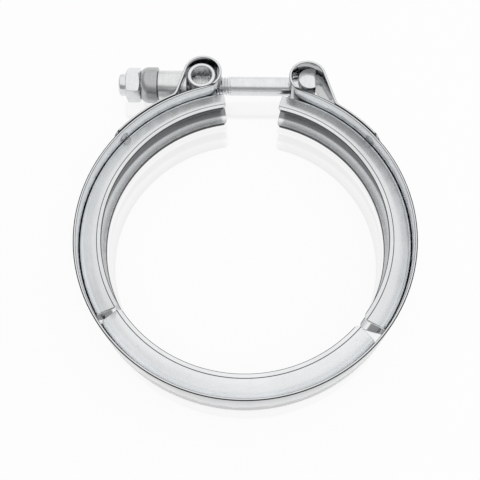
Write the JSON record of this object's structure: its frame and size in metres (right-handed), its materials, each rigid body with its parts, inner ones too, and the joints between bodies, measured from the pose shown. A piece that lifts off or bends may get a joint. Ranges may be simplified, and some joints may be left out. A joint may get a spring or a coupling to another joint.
{
  "type": "v band clamp",
  "caption": "Stainless V band clamp with a T-bolt, trunnion and lock nut, which pulls two conical pipe flanges together.",
  "frame": {"origin": "on the ring's axis, half way up the band", "axes": "+Z along the ring's axis; the T-bolt runs along X on the +Y side, with its nut at -X"},
  "size_m": [0.132, 0.1444, 0.02],
  "materials": {
    "band_steel": "satin stainless strip with bright edges",
    "retainer_steel": "matt rolled stainless with bright lips",
    "zinc_steel": "bright zinc plating",
    "turned_steel": "turned satin steel"
  },
  "bodies": {
    "clamp": {"band_strap": "band_steel", "retainer_left": "retainer_steel", "retainer_lower": "retainer_steel", "retainer_right": "retainer_steel", "t_bolt": "zinc_steel", "trunnion": "zinc_steel", "sleeve": "turned_steel"},
    "collar": {"thrust_collar": "turned_steel"},
    "nut": {"lock_nut": "zinc_steel"}
  },
  "joints": [
    {"name": "collar_slide", "type": "slide", "parent": "clamp", "child": "collar", "axis": [-1, 0, 0], "range_m": [0, 0.0075]},
    {"name": "nut_turn", "type": "hinge", "parent": "collar", "child": "nut", "pos_m": [-0.0488, 0.06995, 0], "axis": [-1, 0, 0], "range_deg": [0, 2160]}
  ],
  "couplings": [
    {"joint": "collar_slide", "follows": "nut_turn", "m_per_rad": 0.00019894}
  ]
}
